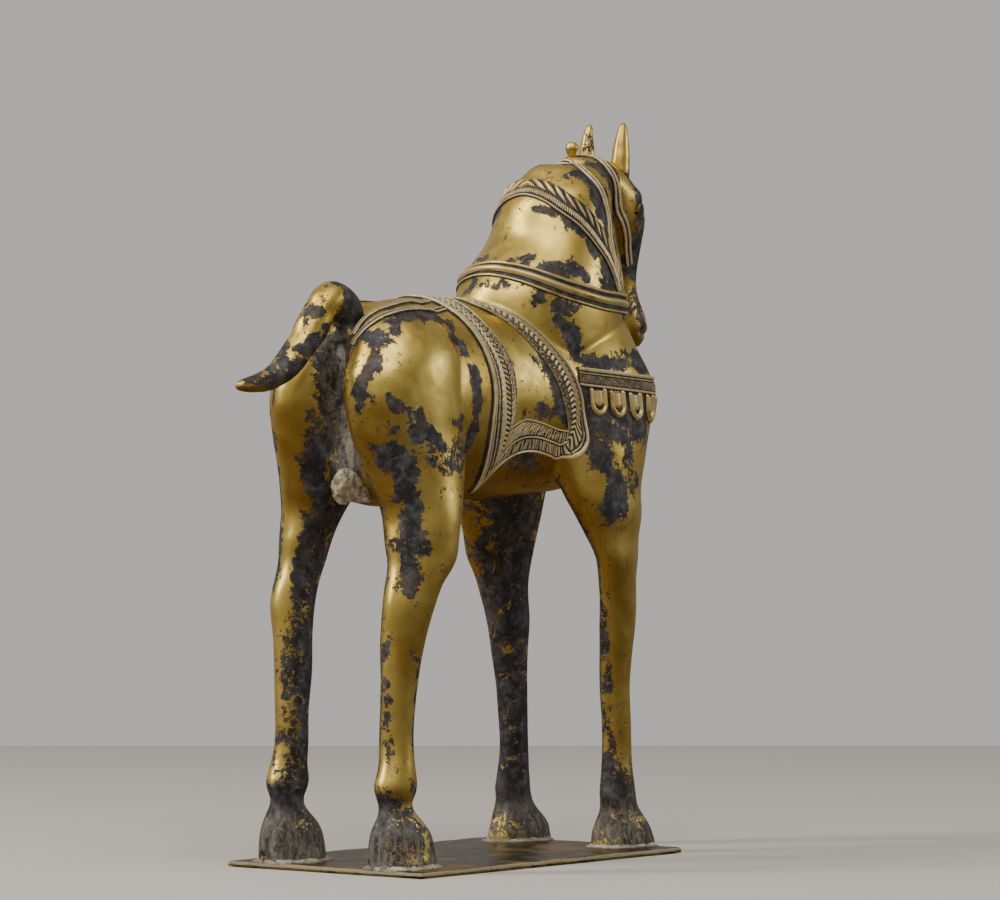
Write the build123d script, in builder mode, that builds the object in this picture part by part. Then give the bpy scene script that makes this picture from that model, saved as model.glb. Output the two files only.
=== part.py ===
from build123d import *
import os
from math import cos, pi, sin

os.makedirs("parts", exist_ok=True)

# A cast brass horse standing on a thin sheet plate.
# Millimetres; +X is forward, +Y is the horse's left, +Z is up, and z = 0 is the underside of the plate.

# ---- driving dimensions -------------------------------------------------
PLATE_LENGTH = 210.0
PLATE_WIDTH = 124.0
PLATE_THICK = 3.0
LEG_JOINT_Z = 172.0  # the legs are cast up to here and pegged into the body
PEG_RADIUS = 7.0
PEG_LENGTH = 7.0
PEG_PLAY = 0.1
BODY_WALL = 6.0  # wall of the hollow casting
PANEL_RAISE = 1.0  # how far each kind of ornament stands off the skin
STRAP_RAISE = 1.6
BORDER_RAISE = 1.8
COLLAR_RAISE = 2.4
CHEST_PENDANTS = 13
PENDANT_WIDTH = 8.0
PENDANT_CENTRE_X = 60.0  # the pendants fan out round this point, seen from above
PENDANT_Z = (220.5, 233.0)
PENDANT_CLEAR = 33.0  # the slots start this far out, where they no longer touch each other
BREAST_STRAP_Z = (233.5, 243.5)
BRAZE_HEIGHT = 1.2
BRAZE_SPREAD = 3.0
BRAZE_GAP = 0.9
SECTION_POINTS = 12
EYE_AT = (125, 17.5, 329)
EYE_RADIUS = 4.0
KNOB_X = 92.5
KNOB_RADIUS = 2.4
KNOB_TOP_Z = 362.5
SIDES = ((1, "left"), (-1, "right"))
UPRIGHT = (Align.CENTER, Align.CENTER, Align.MIN)

# ---- body stations ------------------------------------------------------
# Level ovals: z, centre x, centre y, half length, half width, lean.
HINDQUARTER = [
    (3, -86.5, 35, 20, 13.5, 0),
    (8, -86.5, 35, 20, 13.5, 0),
    (13, -87, 35, 19.5, 13, 0),
    (18, -87.5, 35, 18, 12.5, 0),
    (23, -88.5, 35, 15.5, 10.5, 0),
    (28, -90, 35, 11, 8.5, 0),
    (33, -91, 34.5, 9, 7.5, 0),
    (38, -91, 34.5, 11, 8.5, 0),
    (43, -90.5, 34.5, 12, 9, 0),
    (49, -90, 34.5, 10.5, 8.5, 0),
    (60, -89, 33.5, 9, 8, 0),
    (75, -88.5, 33.5, 9, 8, 0),
    (95, -87, 34, 10.5, 8.5, 0),
    (112, -86, 35, 11.5, 9.5, 0.1),
    (130, -83, 37, 12.5, 11, 0.15),
    (140, -80, 37.5, 14, 11.5, 0.2),
    (150, -75.5, 38, 16.5, 12, 0.25),
    (160, -74, 37, 18, 13.5, 0.25),
    (172, -71.5, 35, 19.5, 15.5, 0.2),
    (184, -70, 32, 24.5, 17, 0.1),
    (197, -69.5, 28.5, 30, 19, 0.05),
    (212, -70.5, 25, 35, 21, 0),
    (220, -70.8, 24.4, 36.9, 21.3, 0),
    (227, -71, 24, 38, 21.5, 0),
    (234, -70.8, 23.3, 37.8, 21.8, 0),
    (241, -70, 22.5, 37, 22, 0),
    (253, -67, 20.5, 33, 21, 0),
    (264, -64, 17, 27.5, 18, 0),
    (272, -61, 13, 19.5, 13.5, 0),
    (277, -59, 9, 10, 7, 0),
]
FOREQUARTER = [
    (3, 92.5, 33.5, 20.5, 13.5, 0),
    (8, 91.5, 33.5, 19.5, 13, 0),
    (13, 91, 33.5, 17.5, 12, 0),
    (18, 89.5, 34, 14.5, 10, 0),
    (23, 88, 34, 11.5, 8.5, 0),
    (30, 87, 34, 10.5, 8, 0),
    (45, 87, 33.5, 9, 7, 0),
    (65, 86.5, 33.5, 8.5, 7, 0),
    (85, 85, 33.5, 9, 7.5, -0.05),
    (100, 84.5, 34.5, 10, 8, -0.1),
    (117, 84, 35.5, 11.5, 8.5, -0.15),
    (130, 83, 37, 13, 9, -0.2),
    (140, 82, 37.5, 15, 9.5, -0.25),
    (150, 81, 38, 18, 10.5, -0.28),
    (160, 79.5, 36.5, 20.5, 12.5, -0.22),
    (172, 77.5, 35, 24.5, 15.5, -0.14),
    (182, 75.5, 33, 27.5, 17, -0.1),
    (192, 75, 31, 30, 18.5, -0.05),
    (206, 76, 28, 34.5, 20.5, 0),
    (221, 80, 25, 38, 21.5, 0),
    (238, 81.5, 23, 41, 21.5, 0),
    (252, 79, 20, 38, 20.5, 0),
    (264, 78, 16, 35, 19.5, 0),
    (272, 76.5, 12, 28, 16, 0),
]
NECK = [
    (236, 63, 0, 55, 33.5, 0),
    (250, 64, 0, 54.6, 35.4, 0),
    (263, 65, 0, 54, 37, 0),
    (272, 66, 0, 53.4, 37, 0),
    (282, 67, 0, 52.5, 36.5, 0),
    (294, 70, 0, 47.5, 35, 0),
    (304, 74, 0, 40.5, 33, 0),
    (315, 77, 0, 34, 31, 0),
    (327, 78.5, 0, 30.5, 28.5, 0),
    (338, 84, 0, 28, 25, 0),
    (345, 88, 0, 25, 20, 0),
    (350, 93.5, 0, 18.5, 12, 0),
]
HEAD = [
    (258, 137.5, 0, 8, 7, 0),
    (262.5, 137.5, 0, 11.5, 10, 0),
    (270, 137, 0, 13.5, 11.5, 0),
    (279, 134.5, 0, 12, 10, 0),
    (290, 131.5, 0, 11, 9, 0),
    (303, 129, 0, 14, 11.5, 0),
    (315, 126, 0, 18, 15.5, 0),
    (326, 122, 0, 22, 18.5, 0),
    (337, 115.5, 0, 22, 19.5, 0),
    (346, 109, 0, 20.5, 17.5, 0),
    (351.5, 104.5, 0, 17.5, 13.5, 0),
    (355, 100.5, 0, 11.5, 7, 0),
]
EAR = [
    (344, 118, 11, 5.5, 5, 0),
    (350, 119, 11, 5.5, 5, 0),
    (358, 120, 11, 5, 4.2, 0),
    (366, 121, 11, 3.8, 3.2, 0),
    (371, 121.5, 11, 2.4, 2, 0),
    (373.5, 122, 11, 1, 0.8, 0),
]
GROIN_BOSS = [
    (179, -80, 0, 6, 8, 0),
    (184, -82, 0, 10, 10, 0),
    (190, -84, 0, 9, 8, 0),
    (195, -86, 0, 5, 4, 0),
]
# Upright ovals across the barrel: x, low z, high z, half width.
BARREL = [
    (-89, 196, 251, 17),
    (-84, 185.5, 259.5, 26),
    (-75, 178.5, 270, 35),
    (-57, 176.5, 278, 41),
    (-35, 177, 280, 41),
    (-8, 178.5, 279.5, 38.5),
    (22, 180, 279, 37.5),
    (52, 182, 279.5, 39),
    (80, 185, 279.5, 41),
    (101, 193, 276, 37),
    (113.5, 205, 269, 27),
    (119, 217.5, 261, 16),
    (120.5, 225, 254, 9),
]
# Round sections along the tail: x, z, radius.
TAIL = [
    (-86, 257, 8.5),
    (-86, 264, 8.7),
    (-87.5, 270.5, 8.8),
    (-91.5, 275.5, 8.8),
    (-97.5, 277.5, 8.8),
    (-104.5, 273.5, 8.5),
    (-110.5, 266.5, 8.1),
    (-117, 258.5, 7.6),
    (-124, 251.5, 7.2),
    (-132, 244.5, 6.7),
    (-140, 240, 5.8),
    (-149, 237, 4.8),
    (-158, 235.5, 3.8),
    (-165, 234.8, 2.4),
    (-167.2, 234.6, 1.2),
]

# ---- side outlines of the ornaments, x and z ----------------------------
COLLAR_TOP = [(4, 311), (24, 301.5), (38, 294), (48, 290.5), (61, 287), (78, 285), (100, 284), (134, 284)]
COLLAR_LOW = [(134, 273.5), (100, 273.5), (83, 274.5), (69, 276), (54, 279), (42, 282), (25, 287.5), (4, 297)]
ROPE_LINE = [(38, 350), (51, 334.5), (57, 327.5), (64, 320), (74, 307.5), (84.5, 293.5), (89.5, 285)]
ROPE_WIDTH = 6.0
LEAF_WIDTH = 6.0
HEADSTALL_LINE = [(80, 362), (80.5, 349), (83, 337), (85, 325), (85.5, 312)]
CHEEK_LINE = [(98, 362), (101.5, 350), (106, 341.5), (109, 331), (114, 323), (121, 314)]
BRIDLE_WIDTH = 5.0
CLOTH_OUTER = [
    (-42, 292),
    (-38, 277),
    (-30.5, 267),
    (-26, 256),
    (-23.5, 243),
    (-23, 230),
    (-24, 217),
    (-22.5, 205),
    (-19, 194),
    (-14, 183.5),
    (-8.5, 194),
    (-1, 200),
    (8, 203),
    (20, 203.5),
    (33, 201.5),
    (44, 199.8),
    (50, 204.5),
    (52.5, 213),
    (52, 224),
    (49, 235),
    (43, 246),
    (35.5, 255.5),
    (28, 265),
    (19, 273),
    (10, 278),
    (2, 292),
]
CLOTH_INNER = [
    (-16, 270.5),
    (-11.5, 263.5),
    (-6.5, 257),
    (-2.5, 248.5),
    (-1.3, 240),
    (-1.5, 231),
    (-3, 222.5),
    (-5, 216.5),
    (1, 219),
    (8, 220.3),
    (20.5, 218.5),
    (33, 215.5),
    (41.5, 214.5),
    (40, 219.5),
    (37, 226),
    (32.5, 236),
    (27, 245.5),
    (20, 254.5),
    (12.5, 263.5),
    (5, 270.5),
]
HEM_REAR_CORNER = ((-5, 216.5), (-14, 183.5))  # the lines that part the borders from the hem
HEM_FRONT_CORNER = ((41.5, 214.5), (49, 201))
CLOTH_PART_X = -8.0  # above the panel the front and rear borders meet here
CRUPPER_LINE = [(-94, 5), (-85, 11.5), (-73, 14.5), (-60, 17), (-38, 18)]  # x and y, seen from above
CRUPPER_WIDTH = 6.0
CRUPPER_LOW_Z = 256.0


def oval(x, y, half_x, half_y, lean=0.0):
    """Points of a closed oval about (x, y), slewed by lean."""
    points = []
    for i in range(SECTION_POINTS):
        angle = 2 * pi * i / SECTION_POINTS
        along = half_x * cos(angle)
        points.append((x + along, y + half_y * sin(angle) + lean * along))
    return points


def stacked(stations, side=1, grow=0.0):
    """A loft through level ovals, thickened by grow all over."""
    last = len(stations) - 1
    with BuildPart() as body:
        for i, (z, x, y, half_x, half_y, lean) in enumerate(stations):
            stretch = grow if i == last else 0.0
            with BuildSketch(Plane.XY.offset(z + stretch)):
                with BuildLine():
                    Spline(*oval(x, side * y, half_x + grow, half_y + grow, side * lean), periodic=True)
                make_face()
        loft()
    return body.part


def in_line(stations, grow=0.0):
    """A loft through upright ovals along the barrel, thickened by grow all over."""
    last = len(stations) - 1
    with BuildPart() as body:
        for i, (x, low, high, half_y) in enumerate(stations):
            stretch = -grow if i == 0 else grow if i == last else 0.0
            with BuildSketch(Plane.YZ.offset(x + stretch)):
                with BuildLine():
                    Spline(*oval(0, (low + high) / 2, half_y + grow, (high - low) / 2 + grow), periodic=True)
                make_face()
        loft()
    return body.part


def side_prism(outline, low_y, high_y):
    """A closed smooth side outline run across the horse from low_y to high_y."""
    with BuildPart() as body:
        with BuildSketch(Plane.XZ.offset(-high_y)):
            with BuildLine():
                Polyline(*outline, close=True)
            make_face()
        extrude(amount=high_y - low_y)
    return body.part


def ribbon(line, low_offset, high_offset):
    """The outline of a strip along a line, between two sideways offsets from it."""
    left = []
    right = []
    for i, (x, z) in enumerate(line):
        before = line[max(i - 1, 0)]
        after = line[min(i + 1, len(line) - 1)]
        run = (after[0] - before[0], after[1] - before[1])
        length = (run[0] ** 2 + run[1] ** 2) ** 0.5
        normal = (-run[1] / length, run[0] / length)
        left.append((x + low_offset * normal[0], z + low_offset * normal[1]))
        right.append((x + high_offset * normal[0], z + high_offset * normal[1]))
    return left + right[::-1]


def overlay(region, skin, bare):
    """The part of a thickened skin that lies in a region and outside the bare bodies."""
    with BuildPart() as piece:
        add(region)
        add(skin, mode=Mode.INTERSECT)
        for body in bare:
            add(body, mode=Mode.SUBTRACT)
    return piece.part


# ---- plain bodies -------------------------------------------------------
barrel = in_line(BARREL)
neck_form = stacked(NECK)
head_form = stacked(HEAD)
hinds = [stacked(HINDQUARTER, side) for side, _ in SIDES]
fores = [stacked(FOREQUARTER, side) for side, _ in SIDES]
# The neck is cast apart from the body; the joint follows the middle of the collar.
collar_band = side_prism(COLLAR_TOP + COLLAR_LOW, -60, 60)
seam = [((x1 + x2) / 2, (z1 + z2) / 2) for (x1, z1), (x2, z2) in zip(COLLAR_TOP, COLLAR_LOW[::-1])]
above_seam = side_prism(seam + [(134, 400), (4, 400)], -60, 60)
hind_peg = next(station[:3] for station in HINDQUARTER if station[0] == LEG_JOINT_Z)
fore_peg = next(station[:3] for station in FOREQUARTER if station[0] == LEG_JOINT_Z)

# ---- torso: one hollow casting up to the collar -------------------------
with BuildPart() as torso:
    add(barrel)
    for body in hinds + fores:
        add(body)
    add(neck_form)
    split(bisect_by=Plane.XY.offset(LEG_JOINT_Z), keep=Keep.TOP)
    add(above_seam, mode=Mode.SUBTRACT)
    add(in_line(BARREL[2:-3], -BODY_WALL), mode=Mode.SUBTRACT)
    for z, x, y in (hind_peg, fore_peg):
        with Locations((x, y, z), (x, -y, z)):
            Cylinder(PEG_RADIUS + PEG_PLAY, PEG_LENGTH + PEG_PLAY, align=UPRIGHT, mode=Mode.SUBTRACT)
torso.part.label = "torso"
export_step(torso.part, "parts/torso.step")

# ---- plate and the braze round the hooves -------------------------------
with BuildPart() as base_plate:
    Box(PLATE_LENGTH, PLATE_WIDTH, PLATE_THICK, align=UPRIGHT)
    fillet(base_plate.edges().filter_by(Axis.Z), radius=2.0)
base_plate.part.label = "base_plate"
export_step(base_plate.part, "parts/base_plate.step")


def braze_ring(foot, side):
    """A low bead on the plate round one hoof."""
    z, x, y, half_x, half_y, _ = foot
    with BuildPart() as ring:
        with BuildSketch(Plane.XY.offset(z)):
            with BuildLine():
                Spline(*oval(x, side * y, half_x + BRAZE_SPREAD, half_y + BRAZE_SPREAD), periodic=True)
            make_face()
            with BuildLine():
                Spline(*oval(x, side * y, half_x + BRAZE_GAP, half_y + BRAZE_GAP), periodic=True)
            make_face(mode=Mode.SUBTRACT)
        extrude(amount=BRAZE_HEIGHT)
        chamfer(ring.edges().group_by(Axis.Z)[-1].sort_by(SortBy.LENGTH)[-1], length=BRAZE_HEIGHT * 0.7)
    return ring.part


with BuildPart() as hoof_braze:
    for side, _ in SIDES:
        add(braze_ring(HINDQUARTER[0], side))
        add(braze_ring(FOREQUARTER[0], side))
hoof_braze.part.label = "hoof_braze"
export_step(hoof_braze.part, "parts/hoof_braze.step")


# ---- legs, each with its hoof and the peg that enters the body ----------
def leg(body, peg, side):
    """The part of a quarter below the joint, with its peg."""
    z, x, y = peg
    with BuildPart() as piece:
        add(body)
        split(bisect_by=Plane.XY.offset(LEG_JOINT_Z), keep=Keep.BOTTOM)
        with Locations((x, side * y, z)):
            Cylinder(PEG_RADIUS, PEG_LENGTH, align=UPRIGHT)
    return piece.part


for (side, name), hind, fore in zip(SIDES, hinds, fores):
    with BuildPart() as hindleg:
        add(leg(hind, hind_peg, side))
    hindleg.part.label = f"hindleg_{name}"
    export_step(hindleg.part, f"parts/hindleg_{name}.step")
    with BuildPart() as foreleg:
        add(leg(fore, fore_peg, side))
    foreleg.part.label = f"foreleg_{name}"
    export_step(foreleg.part, f"parts/foreleg_{name}.step")

# ---- neck, head, ears, eyes and crest knob ------------------------------
with BuildPart() as neck:
    add(neck_form)
    add(above_seam, mode=Mode.INTERSECT)
    add(stacked(NECK[1:-2], grow=-BODY_WALL), mode=Mode.SUBTRACT)
neck.part.label = "neck"
export_step(neck.part, "parts/neck.step")

with BuildPart() as head:
    add(head_form)
    add(neck_form, mode=Mode.SUBTRACT)
head.part.label = "head"
export_step(head.part, "parts/head.step")

for side, name in SIDES:
    with BuildPart() as ear:
        add(stacked(EAR, side))
        add(head_form, mode=Mode.SUBTRACT)
        add(neck_form, mode=Mode.SUBTRACT)
    ear.part.label = f"ear_{name}"
    export_step(ear.part, f"parts/ear_{name}.step")
    with BuildPart() as eye:
        with Locations((EYE_AT[0], side * EYE_AT[1], EYE_AT[2])):
            Sphere(EYE_RADIUS)
        add(head_form, mode=Mode.SUBTRACT)
    eye.part.label = f"eye_{name}"
    export_step(eye.part, f"parts/eye_{name}.step")

with BuildPart() as crest_knob:
    with Locations((KNOB_X, 0, 346)):
        Cylinder(KNOB_RADIUS, KNOB_TOP_Z - 346, align=UPRIGHT)
    fillet(crest_knob.edges().group_by(Axis.Z)[-1], radius=1.4)
    add(neck_form, mode=Mode.SUBTRACT)
    add(head_form, mode=Mode.SUBTRACT)
crest_knob.part.label = "crest_knob"
export_step(crest_knob.part, "parts/crest_knob.step")


# ---- tail ---------------------------------------------------------------
def tail_form():
    """A loft through round sections square to the tail's own line."""
    with BuildPart() as body:
        for i, (x, z, radius) in enumerate(TAIL):
            before = TAIL[max(i - 1, 0)]
            after = TAIL[min(i + 1, len(TAIL) - 1)]
            heading = (after[0] - before[0], 0, after[1] - before[1])
            with BuildSketch(Plane((x, 0, z), x_dir=(0, 1, 0), z_dir=heading)):
                with BuildLine():
                    Spline(*oval(0, 0, radius, radius), periodic=True)
                make_face()
        loft()
    return body.part


with BuildPart() as tail:
    add(tail_form())
    for body in [barrel] + hinds:
        add(body, mode=Mode.SUBTRACT)
tail.part.label = "tail"
export_step(tail.part, "parts/tail.step")

with BuildPart() as groin_boss:
    add(stacked(GROIN_BOSS))
    for body in [barrel] + hinds:
        add(body, mode=Mode.SUBTRACT)
groin_boss.part.label = "groin_boss"
export_step(groin_boss.part, "parts/groin_boss.step")


# ---- skins the ornaments are cut from -----------------------------------
def front_skin(raise_by):
    """Barrel, shoulders and neck thickened together."""
    with BuildPart() as body:
        add(in_line(BARREL, raise_by))
        add(stacked(NECK, grow=raise_by))
        for side, _ in SIDES:
            add(stacked(FOREQUARTER, side, raise_by))
    return body.part


FRONT_BODIES = [barrel, neck_form] + fores
border_skin = front_skin(BORDER_RAISE)

# ---- neck collar, mane and bridle ---------------------------------------
with BuildPart() as neck_collar:
    add(overlay(collar_band, stacked(NECK, grow=COLLAR_RAISE), FRONT_BODIES + [head_form]))
neck_collar.part.label = "neck_collar"
export_step(neck_collar.part, "parts/neck_collar.step")

mane_skin = stacked(NECK, grow=BORDER_RAISE)
with BuildPart() as mane_rope:
    region = side_prism(ribbon(ROPE_LINE, -ROPE_WIDTH / 2, ROPE_WIDTH / 2), -60, 60)
    add(overlay(region, mane_skin, [neck_form, head_form, collar_band]))
mane_rope.part.label = "mane_rope"
export_step(mane_rope.part, "parts/mane_rope.step")

with BuildPart() as mane_leaves:
    region = side_prism(ribbon(ROPE_LINE, ROPE_WIDTH / 2, ROPE_WIDTH / 2 + LEAF_WIDTH), -60, 60)
    add(overlay(region, mane_skin, [neck_form, head_form, collar_band]))
mane_leaves.part.label = "mane_leaves"
export_step(mane_leaves.part, "parts/mane_leaves.step")

with BuildPart() as headstall:
    region = side_prism(ribbon(HEADSTALL_LINE, -BRIDLE_WIDTH / 2, BRIDLE_WIDTH / 2), -60, 60)
    add(overlay(region, mane_skin, [neck_form, head_form]))
headstall.part.label = "headstall"
export_step(headstall.part, "parts/headstall.step")

with BuildPart() as cheek_strap:
    region = side_prism(ribbon(CHEEK_LINE, -BRIDLE_WIDTH / 2, BRIDLE_WIDTH / 2), -60, 60)
    add(overlay(region, stacked(HEAD, grow=STRAP_RAISE), [neck_form, head_form]))
cheek_strap.part.label = "cheek_strap"
export_step(cheek_strap.part, "parts/cheek_strap.step")

# ---- saddle cloth: panel, borders and hem -------------------------------
(hem_x1, hem_z1), (hem_x2, hem_z2) = HEM_REAR_CORNER
(hem_x3, hem_z3), (hem_x4, hem_z4) = HEM_FRONT_CORNER
front_corner = [(hem_x3, hem_z3), (hem_x4, hem_z4)]
rear_corner = [(hem_x1, hem_z1), (hem_x2, hem_z2)]
parting = [(CLOTH_PART_X, 300), (CLOTH_PART_X, 262)]
front_sector = side_prism(parting + [(35, 226)] + front_corner + [(60, 190), (60, 300)], -60, 60)
rear_sector = side_prism(parting + [(4, 226)] + rear_corner + [(-16, 178), (-60, 178), (-60, 300)], -60, 60)
below_hem = [(-10, 178), (60, 178), (60, 190)]
hem_sector = side_prism(rear_corner + below_hem + front_corner[::-1] + [(20, 226)], -60, 60)
with BuildPart() as cloth_frame:
    add(side_prism(CLOTH_OUTER, -60, 60))
    add(side_prism(CLOTH_INNER, 0, 60), mode=Mode.SUBTRACT)
    add(side_prism(CLOTH_INNER, -60, 0), mode=Mode.SUBTRACT)
    add(border_skin, mode=Mode.INTERSECT)
    for body in FRONT_BODIES:
        add(body, mode=Mode.SUBTRACT)

for name, sector in (("front_border", front_sector), ("rear_border", rear_sector)):
    with BuildPart() as border:
        add(cloth_frame.part)
        add(sector, mode=Mode.INTERSECT)
    border.part.label = f"cloth_{name}"
    export_step(border.part, f"parts/cloth_{name}.step")

panel_skin = front_skin(PANEL_RAISE)
for side, name in SIDES:
    with BuildPart() as cloth_panel:
        add(overlay(side_prism(CLOTH_INNER, min(0, side * 60), max(0, side * 60)), panel_skin, FRONT_BODIES))
    cloth_panel.part.label = f"cloth_panel_{name}"
    export_step(cloth_panel.part, f"parts/cloth_panel_{name}.step")
    with BuildPart() as cloth_hem:
        add(cloth_frame.part)
        add(hem_sector, mode=Mode.INTERSECT)
        with Locations((0, side * 60, 200)):
            Box(300, 120, 300, mode=Mode.INTERSECT)
    cloth_hem.part.label = f"cloth_hem_{name}"
    export_step(cloth_hem.part, f"parts/cloth_hem_{name}.step")

# ---- breast strap and its pendants --------------------------------------
strap_height = BREAST_STRAP_Z[1] - BREAST_STRAP_Z[0]
with BuildPart() as breast_strap:
    with Locations((90, 0, BREAST_STRAP_Z[0])):
        Box(120, 140, strap_height, align=UPRIGHT)
    add(side_prism(CLOTH_OUTER, -60, 60), mode=Mode.SUBTRACT)
    add(border_skin, mode=Mode.INTERSECT)
    for body in FRONT_BODIES:
        add(body, mode=Mode.SUBTRACT)
breast_strap.part.label = "breast_strap"
export_step(breast_strap.part, "parts/breast_strap.step")

pendant_round = PENDANT_WIDTH / 2
pendant_square = PENDANT_Z[1] - PENDANT_Z[0] - pendant_round
with BuildPart() as pendant_slots:
    for i in range(CHEST_PENDANTS):
        turn = pi * i / (CHEST_PENDANTS - 1) - pi / 2
        centre = (PENDANT_CENTRE_X, 0, PENDANT_Z[0] + pendant_round)
        outward = Plane(centre, x_dir=(-sin(turn), cos(turn), 0), z_dir=(cos(turn), sin(turn), 0))
        with BuildSketch(outward.offset(PENDANT_CLEAR)):
            Circle(pendant_round)
            Rectangle(PENDANT_WIDTH, pendant_square, align=(Align.CENTER, Align.MIN))
        extrude(amount=40)
with BuildPart() as breast_pendants:
    with Locations((PENDANT_CENTRE_X - PENDANT_WIDTH, 0, PENDANT_Z[0])):
        Box(90, 140, pendant_square + pendant_round, align=(Align.MIN, Align.CENTER, Align.MIN))
    add(border_skin, mode=Mode.INTERSECT)
    for body in FRONT_BODIES:
        add(body, mode=Mode.SUBTRACT)
    add(pendant_slots.part, mode=Mode.INTERSECT)
breast_pendants.part.label = "breast_pendants"
export_step(breast_pendants.part, "parts/breast_pendants.step")


# ---- crupper straps from the cloth to the tail --------------------------
def crupper_region(side):
    """A strip seen from above, run up through the rump."""
    strip = ribbon([(x, side * y) for x, y in CRUPPER_LINE], -CRUPPER_WIDTH / 2, CRUPPER_WIDTH / 2)
    with BuildPart() as body:
        with BuildSketch(Plane.XY.offset(CRUPPER_LOW_Z)):
            with BuildLine():
                Polyline(*strip, close=True)
            make_face()
        extrude(amount=40)
    return body.part


with BuildPart() as rump_skin:
    add(in_line(BARREL, STRAP_RAISE))
    for side, _ in SIDES:
        add(stacked(HINDQUARTER, side, STRAP_RAISE))
for side, name in SIDES:
    with BuildPart() as crupper:
        add(overlay(crupper_region(side), rump_skin.part, [barrel] + hinds + [tail_form()]))
        add(side_prism(CLOTH_OUTER, -60, 60), mode=Mode.SUBTRACT)
    crupper.part.label = f"crupper_{name}"
    export_step(crupper.part, f"parts/crupper_{name}.step")
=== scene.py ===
import math

import bmesh
import bpy
import numpy as np
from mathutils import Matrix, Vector
from mathutils.bvhtree import BVHTree


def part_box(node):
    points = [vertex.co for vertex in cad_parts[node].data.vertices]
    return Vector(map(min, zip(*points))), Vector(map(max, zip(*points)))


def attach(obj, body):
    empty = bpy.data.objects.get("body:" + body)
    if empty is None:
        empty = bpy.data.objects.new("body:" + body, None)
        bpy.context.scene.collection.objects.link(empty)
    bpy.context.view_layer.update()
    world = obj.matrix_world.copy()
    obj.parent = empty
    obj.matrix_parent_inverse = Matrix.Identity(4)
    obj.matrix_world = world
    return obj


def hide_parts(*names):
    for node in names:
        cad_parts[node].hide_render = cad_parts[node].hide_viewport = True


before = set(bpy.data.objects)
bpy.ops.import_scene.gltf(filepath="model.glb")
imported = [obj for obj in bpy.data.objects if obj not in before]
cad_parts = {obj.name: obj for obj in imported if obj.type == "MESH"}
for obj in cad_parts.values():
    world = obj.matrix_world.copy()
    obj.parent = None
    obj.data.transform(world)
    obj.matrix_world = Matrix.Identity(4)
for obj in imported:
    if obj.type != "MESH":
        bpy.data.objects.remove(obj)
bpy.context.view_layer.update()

MM = 0.001
SCENE = bpy.context.scene

# Lengths below are in millimetres in the row frame: +X forward, +Y the horse's left, +Z up.
LEG_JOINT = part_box("foreleg_right")[1].z / MM - 7.0   # the pegs rise 7 mm above the joint
PLATE_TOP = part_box("base_plate")[1].z / MM
BARREL_AXIS_Z = 229.0
BARREL_HALF = (38.0, 50.5)      # half width and half height of the barrel
ARC = 45.0                      # millimetres of skin for one radian round the barrel
RAY_START = 120                 # a ray starts this far out, clear of the statue
STRAY = 7                       # a hit further than this from a ribbon is on another part of the skin
CAMERA_AZIMUTH = -51.5          # degrees; the floor is squared up to the camera


# ---------------------------------------------------------------- mesh tools
def positions(mesh):
    co = np.empty(len(mesh.vertices) * 3, np.float32)
    mesh.vertices.foreach_get("co", co)
    return co.reshape(-1, 3).astype(float) / MM


def place(mesh, co):
    mesh.vertices.foreach_set("co", (co * MM).astype(np.float32).ravel())
    mesh.update()


def edge_pairs(mesh):
    pairs = np.empty(len(mesh.edges) * 2, np.int32)
    mesh.edges.foreach_get("vertices", pairs)
    return pairs.reshape(-1, 2)


def vertex_normals(mesh):
    mesh.update()
    nn = np.empty(len(mesh.vertices) * 3, np.float32)
    mesh.vertices.foreach_get("normal", nn)
    return nn.reshape(-1, 3).astype(float)


def relax(co, pairs, rounds, weight=None, back=0.0):
    """Moves each point towards its neighbours' middle; back pushes out again, so the volume stays."""
    n = len(co)
    degree = np.bincount(pairs.ravel(), minlength=n)[:, None]
    share = 1.0 if weight is None else weight[:, None]
    for _ in range(rounds):
        for push in (0.5, back):
            if push:
                first, second = pairs[:, 0], pairs[:, 1]
                total = [np.bincount(first, co[second, a], n) + np.bincount(second, co[first, a], n)
                         for a in range(3)]
                middle = np.stack(total, 1) / degree
                co = co + push * share * (middle - co)
    return co


def outer_island(obj):
    """Deletes every loose shell but the largest, so no inner wall is left."""
    mesh = obj.data
    pairs = edge_pairs(mesh)
    label = np.arange(len(mesh.vertices))
    while True:
        low = np.minimum(label[pairs[:, 0]], label[pairs[:, 1]])
        new = label.copy()
        np.minimum.at(new, pairs[:, 0], low)
        np.minimum.at(new, pairs[:, 1], low)
        new = new[new]
        if (new == label).all():
            break
        label = new
    names, counts = np.unique(label, return_counts=True)
    co = positions(mesh)
    spans = [(np.ptp(co[label == k], axis=0).sum(), k) for k, c in zip(names, counts) if c > 200]
    keep = max(spans)[1]
    bm = bmesh.new()
    bm.from_mesh(mesh)
    bm.verts.ensure_lookup_table()
    bmesh.ops.delete(bm, geom=[bm.verts[i] for i in np.nonzero(label != keep)[0]], context="VERTS")
    bm.to_mesh(mesh)
    bm.free()


def remeshed(name, nodes, voxel):
    """The CAD nodes' outside as one even mesh."""
    bm = bmesh.new()
    for node in nodes:
        bm.from_mesh(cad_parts[node].data)
    mesh = bpy.data.meshes.new(name)
    bm.to_mesh(mesh)
    bm.free()
    obj = bpy.data.objects.new(name, mesh)
    SCENE.collection.objects.link(obj)
    skin = obj.modifiers.new("skin", "REMESH")
    skin.mode = "VOXEL"
    skin.voxel_size = voxel * MM
    graph = bpy.context.evaluated_depsgraph_get()
    obj.data = bpy.data.meshes.new_from_object(obj.evaluated_get(graph))
    obj.modifiers.clear()
    outer_island(obj)
    return obj


def tree_of(mesh):
    co = np.empty(len(mesh.vertices) * 3, np.float32)
    mesh.vertices.foreach_get("co", co)
    return BVHTree.FromPolygons(co.reshape(-1, 3).tolist(), [p.vertices[:] for p in mesh.polygons])


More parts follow.
